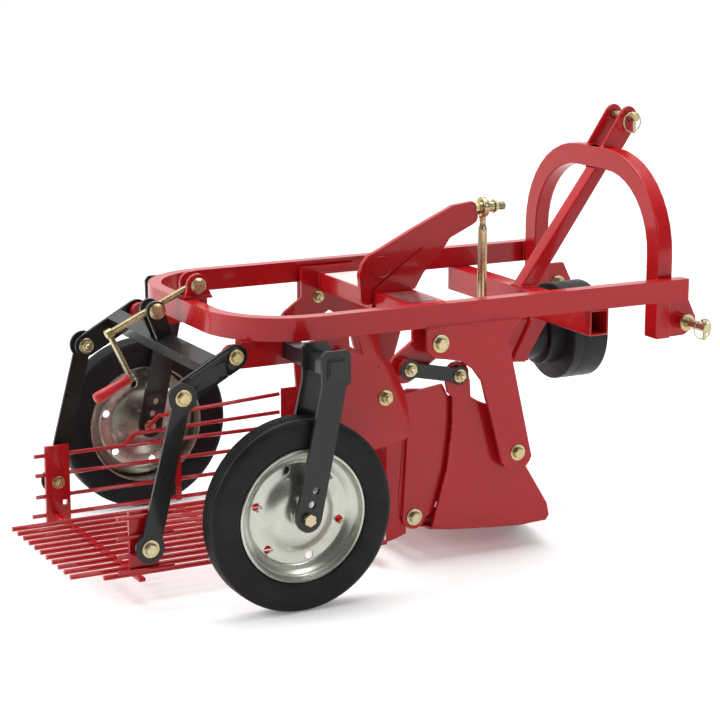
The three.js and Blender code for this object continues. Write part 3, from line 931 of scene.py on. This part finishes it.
# %% [markdown]
# ## The adjusting screw
# Two turned cross pins carry the screw, one in the frame's lugs and one in the
# lift tube's lugs. The screw runs through both. Its thread is a row of rings
# from the lathe, which reads as a thread and stays a closed shape. The crank is
# a flat bar with a turned hub and a plastic grip that spins on its end.

# %% Cross pins, screw and crank
SCREW_AXIS = (SCREW_PIN - CRANK_PIN).normalized()
LIFT_EYE = at(-140, 0, 565)


def cross_pin():
    half = [
        (0, 34), (13.5, 34), (14.3, 33.2), (14.3, 32.2), (16.6, 31.6), (17.6, 30.4),
        (17.6, 25.4), (16.8, 24.4), (8, 24.4), (8, 14), (12.5, 13), (12.5, 0),
    ]
    return lathe(half + [(r, -h) for r, h in reversed(half[:-1])], 44, 30)


pin = cross_pin()
for name, body, place in (
    ("screw_pin_frame", "frame", SCREW_PIN),
    ("screw_pin_lift", "lift", LIFT_EYE),
):
    piece = copy_of(pin)
    stand(piece, place, (0, 1, 0))
    dress(piece, name, body, GOLD)
bpy.data.objects.remove(pin)

SCREW_RADIUS = 7.6
THREAD_PITCH = 3.0
reach = (SCREW_PIN - CRANK_PIN).length / MM + 20
outline = [(0, 8), (7.2, 8)]
height = 9.0
while height < reach - 4:
    outline += [(SCREW_RADIUS, height + 0.6), (SCREW_RADIUS, height + 1.6), (7.0, height + 2.3)]
    height += THREAD_PITCH
screw = lathe(outline + [(6.4, reach), (0, reach)], 20, 40)
stand(screw, CRANK_PIN, SCREW_AXIS)
dress(screw, "screw_finished", "screw_body", GOLD, ["screw"])
print("screw faces:", len(screw.data.polygons))

# %% Crank and grip
ARM = Vector((SCREW_AXIS.z, 0, -SCREW_AXIS.x))
ARM_LENGTH = 0.114
crank_hub = lathe([(0, -8), (9, -8), (10.4, -7), (10.4, 6.6), (9, 7.6), (0, 7.6)], 36)
stand(crank_hub, CRANK_PIN, SCREW_AXIS)
clear()
bpy.ops.mesh.primitive_cube_add(
    size=1, location=(0, 0, 0.0565), scale=(0.010, 0.018, 0.129))
flat_bar = bpy.context.object
bpy.ops.object.transform_apply(location=True, rotation=True, scale=True)
open_mesh(flat_bar)
select_faces(flat_bar, lambda c, n: n.z > 0.9)
bpy.ops.transform.resize(value=(1, 0.86, 1))
close_mesh()
bevel(flat_bar, 1.6, 3)
smooth(flat_bar)
across = ARM.cross(SCREW_AXIS).normalized()
turn = Matrix((SCREW_AXIS, across, ARM)).transposed().to_4x4()
flat_bar.data.transform(Matrix.Translation(CRANK_PIN) @ turn)
grip_end = CRANK_PIN + ARM * ARM_LENGTH
grip_pin = lathe([(0, -3), (5.4, -3), (6, -2.4), (6, 7), (4.5, 8), (0, 8)], 24)
stand(grip_pin, grip_end, SCREW_AXIS)
crank = joined(crank_hub, flat_bar, grip_pin)
dress(crank, "crank_finished", "crank_body", GOLD, ["crank"])
grip = lathe([
    (0, 4), (9.0, 4), (11.2, 5.5), (11.6, 9), (10.6, 16), (10.8, 30), (11.8, 52),
    (12.6, 70), (13, 82), (12.4, 89), (9.6, 93), (5, 94.4), (0, 94.6),
], 40, 50)
stand(grip, grip_end, -SCREW_AXIS)
dress(grip, "crank_grip", "crank_body", GRIP)
print("crank faces:", len(crank.data.polygons), "grip faces:", len(grip.data.polygons))

# %% [markdown]
# ## The rod end
# The connecting rod hangs from a forged eye: a ring round a steel ball, with a
# short neck that widens into the rod. The ball lets the arm swing. A long bolt
# carries it, with a nut and washer on each side.

# %% Connecting rod
FORWARD = (1, 0, 0)
eye_ring = lathe([
    (14.2, -5), (15, -6.4), (16.4, -7), (21.6, -7), (23.4, -5.6), (24, -3), (24, 3),
    (23.4, 5.6), (21.6, 7), (16.4, 7), (15, 6.4), (14.2, 5),
], 48, 40)
stand(eye_ring, ROD_EYE, FORWARD)
ball = lathe([
    (9.4, -9.5), (10.6, -9), (12.4, -6.4), (13.6, -3.2), (14, 0), (13.6, 3.2),
    (12.4, 6.4), (10.6, 9), (9.4, 9.5),
], 40, 60)
stand(ball, ROD_EYE, FORWARD)
top_z = (ROD_EYE.z - DRIVE_Z) / MM
rod = lathe([
    (0, 28), (11, 28), (11, top_z - 54), (10.2, top_z - 49), (8.2, top_z - 44), (7.6, top_z - 36),
    (8.2, top_z - 28), (9.4, top_z - 22), (0, top_z - 22),
], 32, 40)
stand(rod, (ROD_EYE.x, 0, DRIVE_Z))
foot = lathe([(17, -6), (31, -6), (34, -4.5), (34, 4.5), (31, 6), (17, 6)], 56, 40)
stand(foot, (ROD_EYE.x - 0.002, 0, DRIVE_Z), FORWARD)
foot_washer = lathe([(0, 0), (18, 0), (19, 1), (19, 3.2), (0, 3.2)], 40)
foot_bolt = joined(hexagon(14, 8, 3.2), foot_washer)
stand(foot_bolt, (ROD_EYE.x - 0.0075, 0, DRIVE_Z), (-1, 0, 0))
rod_end = joined(eye_ring, ball, rod, foot, foot_bolt)
dress(rod_end, "connecting_rod_finished", "connecting_rod_body", GOLD, ["connecting_rod"])
print("rod faces:", len(rod_end.data.polygons))

# %% The long bolt through the rod end
for name, offset, direction in (
    ("eye_nut_front", 0.0270, FORWARD),
    ("eye_nut_rear", -0.0115, (-1, 0, 0)),
):
    flange = lathe([(6, 0), (16, 0), (16.6, 0.6), (16.6, 1.6), (6, 1.6)], 36)
    piece = joined(hexagon(13.5, 9, 1.6), flange)
    stand(piece, ROD_EYE + Vector((offset, 0, 0)), direction)
    dress(piece, name, "rocker", GOLD)
spacer = lathe([
    (9.4, 10.5), (12, 10.5), (13, 11.5), (13, 25.6), (12, 26.6), (9.4, 26.6),
], 36)
stand(spacer, ROD_EYE, FORWARD)
dress(spacer, "eye_spacer", "rocker", GOLD)
tip = thread(9.4, 38, 57.5)
stand(tip, ROD_EYE, FORWARD)
dress(tip, "eye_bolt_tip", "rocker", STEEL)
print("rod end bolt done")

# %% [markdown]
# ## Stiffener and tube on the rocker arm
# A sloping rib ties the rocker arm to its beam, and a short tube passes
# through the arm near its root. The rib is a three-sided prism whose corners
# are drawn out to the weld lines; the tube's end is a ring from the lathe.

# %% Rib and tube end
clear()
bpy.ops.mesh.primitive_cylinder_add(vertices=3, radius=0.02, depth=0.02, location=(0, 0, 0))
rib = bpy.context.object
corners = {
    "low": [at(386, -7.2, 560), at(531, -7.2, 658), at(500, -7.2, 556)],
    "high": [at(396, -12, 563), at(524, -9.0, 650), at(492, -22, 556.2)],
}
open_mesh(rib, "VERT")
mesh = bmesh.from_edit_mesh(rib.data)
for level, sign in (("low", -1), ("high", 1)):
    ring = [v for v in mesh.verts if v.co.z * sign > 0]
    ring.sort(key=lambda v: math.atan2(v.co.y, v.co.x))
    for corner, place in zip(ring, corners[level]):
        corner.co = place
bmesh.update_edit_mesh(rib.data)
bpy.ops.mesh.select_all(action="SELECT")
bpy.ops.mesh.normals_make_consistent(inside=False)
close_mesh()
bevel(rib, 1.2, 2, 20)
smooth(rib, 30)
dress(rib, "rocker_rib", "rocker", RED)
tube_end = lathe([
    (0, 0), (26.4, 0), (26.4, 1.6), (25.4, 2.6), (23.8, 2.6), (22.8, 1.6), (22.4, 0.6), (0, 0.6),
], 56)
for name, y, way in (("arm_tube_right", -7.2, -1), ("arm_tube_left", 7.2, 1)):
    piece = copy_of(tube_end)
    stand(piece, at(421, y, 613), (0, way, 0))
    dress(piece, name, "rocker", RED)
bpy.data.objects.remove(tube_end)
print("rib and tube end done")

# %% [markdown]
# ## Blank labels
# Two labels lie on the rocker beam. They carry no words here. Each is a thin
# sheet with rounded corners, just proud of the paint.

# %% Labels


def label(name, corners, body, finish):
    clear()
    bpy.ops.mesh.primitive_plane_add(size=1, location=(0, 0, 0))
    piece = bpy.context.object
    open_mesh(piece, "VERT")
    mesh = bmesh.from_edit_mesh(piece.data)
    ring = sorted(mesh.verts, key=lambda v: math.atan2(v.co.y, v.co.x))
    for corner, place in zip(ring, corners):
        corner.co = place
        corner.select_set(True)
    bmesh.update_edit_mesh(piece.data)
    bpy.ops.mesh.select_all(action="SELECT")
    bpy.ops.mesh.bevel(offset=0.006, segments=4, affect="VERTICES")
    bpy.ops.mesh.extrude_region_move(TRANSFORM_OT_translate={"value": (0, 0, 0.0006)})
    bpy.ops.mesh.select_all(action="SELECT")
    bpy.ops.mesh.normals_make_consistent(inside=False)
    close_mesh()
    smooth(piece, 30)
    return dress(piece, name, body, finish)


BEAM_TOP = 555.3
for name, rear, front, y_low, y_high, finish in (
    ("label_left", 406, 494, 66, 258, LABEL),
    ("label_right", 416, 486, -150, -30, DARK_LABEL),
):
    corners = [(rear, y_low), (front, y_low), (front, y_high), (rear, y_high)]
    label(name, [at(x, y, BEAM_TOP) for x, y in corners], "rocker", finish)
print("labels done")

# %% [markdown]
# ## Weld beads
# A weld by hand is a chain of overlapping puddles. One ball is
# repeated by an Array modifier along each seam, a third of its width apart, so
# that the rippled top shows when the light runs along it.

# %% Beads along the seams


def weld(name, body, start, end, radius=3.2, finish=RED):
    start, end = Vector(start), Vector(end)
    count = max(2, int((end - start).length / (radius * 0.75 * MM)))
    clear()
    bpy.ops.mesh.primitive_uv_sphere_add(
        segments=10, ring_count=6, radius=radius * MM, location=start)
    piece = bpy.context.object
    bpy.ops.object.transform_apply(location=True, rotation=True, scale=True)
    row = piece.modifiers.new("row", "ARRAY")
    row.count = count
    row.use_relative_offset = False
    row.use_constant_offset = True
    row.constant_offset_displace = (end - start) / (count - 1)
    bpy.ops.object.modifier_apply(modifier=row.name)
    smooth(piece, 70)
    return dress(piece, name, body, finish)


beads = 0
for side, s in SIDES:
    seams = [
        ("leg_top", "frame", at(368, s * 324.6, 534.6), at(596, s * 324.6, 534.6), 3.6, RED),
        ("arch_plate", "frame", at(1028, s * 273, 444), at(1028, s * 273, 526), 3.4, RED),
        ("beam_end", "rocker", at(404, s * 271.5, 555.5), at(496, s * 271.5, 555.5), 2.8, RED),
        ("beam_rear", "rocker", at(399.5, s * 271.5, 519), at(399.5, s * 271.5, 553), 2.6, RED),
        ("arm_foot", "rocker", at(404, s * 7.5, 556), at(500, s * 7.5, 556), 2.8, RED),
        ("strut_foot", "frame", at(786, s * 20.5, 535.6), at(828, s * 20.5, 535.6), 2.8, RED),
        ("strut_head", "frame", at(990, s * 20.5, 807), at(1024, s * 20.5, 807), 2.8, RED),
        ("stub_top", "frame", at(50, s * 482.5, 525.6), at(80, s * 482.5, 525.6), 4.2, BLACK),
        ("stub_foot", "frame", at(50, s * 482.5, 490.4), at(80, s * 482.5, 490.4), 4.2, BLACK),
        ("stub_rear", "frame", at(47.6, s * 482.5, 493), at(47.6, s * 482.5, 523), 4.2, BLACK),
        ("stub_front", "frame", at(82.4, s * 482.5, 493), at(82.4, s * 482.5, 523), 4.2, BLACK),
        ("lug_foot", "frame", at(-72, s * 24.5, 589), at(-14, s * 24.5, 589), 2.6, RED),
        ("arch_rail", "frame", at(986.5, s * 290.5, 538), at(986.5, s * 290.5, 582), 2.6, RED),
    ]
    for word, body, start, end, radius, finish in seams:
        weld(f"weld_{word}_{side}", body, start, end, radius, finish)
        beads += 1
print("weld beads:", beads)

# %% [markdown]
# ## Camera and light
# The camera has a long lens and looks from the rear right, a little above. The
# floor is a large pale sheet with painted light: it glows more with the distance
# from the machine, so near it the glow is low and adds painted shade to the soft
# shadow, and further out the sheet melts into the white backdrop.

# %% Camera
LENS = 106.7
CAMERA_PLACE = (-2.182, -4.246, 1.482)
VIEW_DIRECTION = (0.449, 0.866, -0.2195)
camera_data = bpy.data.cameras.new("Camera")
camera_data.lens = LENS
camera_data.sensor_width = 36
camera = bpy.data.objects.new("Camera", camera_data)
bpy.context.scene.collection.objects.link(camera)
camera.location = CAMERA_PLACE
camera.rotation_euler = Vector(VIEW_DIRECTION).to_track_quat("-Z", "Y").to_euler()
camera_data.clip_end = 60
bpy.context.scene.camera = camera
print("lens", camera_data.lens)

# %% Floor
GLOW_REACH = 6
clear()
bpy.ops.mesh.primitive_plane_add(size=40, location=(0, 0, -0.0005))
floor = bpy.context.object
PAINTED_GLOW_FLOOR = new_finish(
    "Floor with painted glow", None,
    Metallic=0.0, Roughness=0.6, Specular_IOR_Level=0.0, Emission_Strength=1.0,
)
PAINTED_GLOW_FLOOR["shader"].inputs["Base Color"].default_value = (0.88, 0.88, 0.88, 1)
nodes, links = PAINTED_GLOW_FLOOR["tree"].nodes, PAINTED_GLOW_FLOOR["tree"].links
spot = nodes.new("ShaderNodeTexCoord")
shrink = nodes.new("ShaderNodeMapping")
shrink.inputs["Scale"].default_value = (1 / GLOW_REACH,) * 3
distance = nodes.new("ShaderNodeVectorMath")
distance.operation = "LENGTH"
links.new(spot.outputs["Object"], shrink.inputs["Vector"])
links.new(shrink.outputs["Vector"], distance.inputs[0])
# Painted light: the floor's emission rises from 0.18 near the machine to 0.62 further out, so the
# dim ring round the machine is painted shade.
ramp(PAINTED_GLOW_FLOOR, distance.outputs["Value"], [(0.22, (0.18,)), (0.7, (0.62,))], "Emission Color")
floor.name = "floor"
floor.data.materials.append(PAINTED_GLOW_FLOOR["material"])
print("floor", floor.name)

# %% [markdown]
# ## Soft studio light
# The studio is bright overhead and behind the machine, and dimmer behind the
# camera, so the tops of the tubes turn pale while their near sides keep a deep
# red. Large area lamps above and to the rear add the long soft streaks.

# %% Sky and lamps
bpy.context.scene.view_settings.view_transform = "Standard"
world = bpy.data.worlds.new("Studio")
bpy.context.scene.world = world
world.use_nodes = True
sky = world.node_tree
backdrop = sky.nodes["Background"]
place = sky.nodes.new("ShaderNodeTexCoord")
toward = sky.nodes.new("ShaderNodeVectorMath")
toward.operation = "DOT_PRODUCT"
toward.inputs[1].default_value = (0.30, 0.70, 0.65)
glow = sky.nodes.new("ShaderNodeValToRGB")
glow.color_ramp.elements[0].position = 0.10
glow.color_ramp.elements[0].color = (0.10, 0.10, 0.105, 1)
glow.color_ramp.elements[1].position = 0.62
glow.color_ramp.elements[1].color = (1.0, 1.0, 1.0, 1)
sky.links.new(place.outputs["Generated"], toward.inputs[0])
sky.links.new(toward.outputs["Value"], glow.inputs["Fac"])
sky.links.new(glow.outputs["Color"], backdrop.inputs["Color"])
backdrop.inputs["Strength"].default_value = 1.0
plain = sky.nodes.new("ShaderNodeBackground")
plain.inputs["Strength"].default_value = 1.0
path = sky.nodes.new("ShaderNodeLightPath")
mix = sky.nodes.new("ShaderNodeMixShader")
sky.links.new(path.outputs["Is Camera Ray"], mix.inputs["Fac"])
sky.links.new(backdrop.outputs["Background"], mix.inputs[1])
sky.links.new(plain.outputs["Background"], mix.inputs[2])
sky.links.new(mix.outputs["Shader"], sky.nodes["World Output"].inputs["Surface"])
plain.inputs["Color"].default_value = (1, 1, 1, 1)


def softbox(name, place, aim, width, height, watts):
    data = bpy.data.lights.new(name, "AREA")
    data.shape = "RECTANGLE"
    data.size = width
    data.size_y = height
    data.energy = watts
    lamp = bpy.data.objects.new(name, data)
    bpy.context.scene.collection.objects.link(lamp)
    lamp.location = place
    way = Vector(aim) - Vector(place)
    lamp.rotation_euler = way.to_track_quat("-Z", "Y").to_euler()
    return lamp


softbox("overhead", (0.2, 0.3, 3.4), (0, 0, 0.2), 3.4, 2.4, 95)
softbox("rear_left", (-3.8, 0.4, 2.4), (0, 0, 0.3), 2.2, 2.0, 85)
softbox("right", (1.6, -4.4, 2.8), (0.1, 0, 0.4), 1.4, 1.6, 45)
print("lights set")
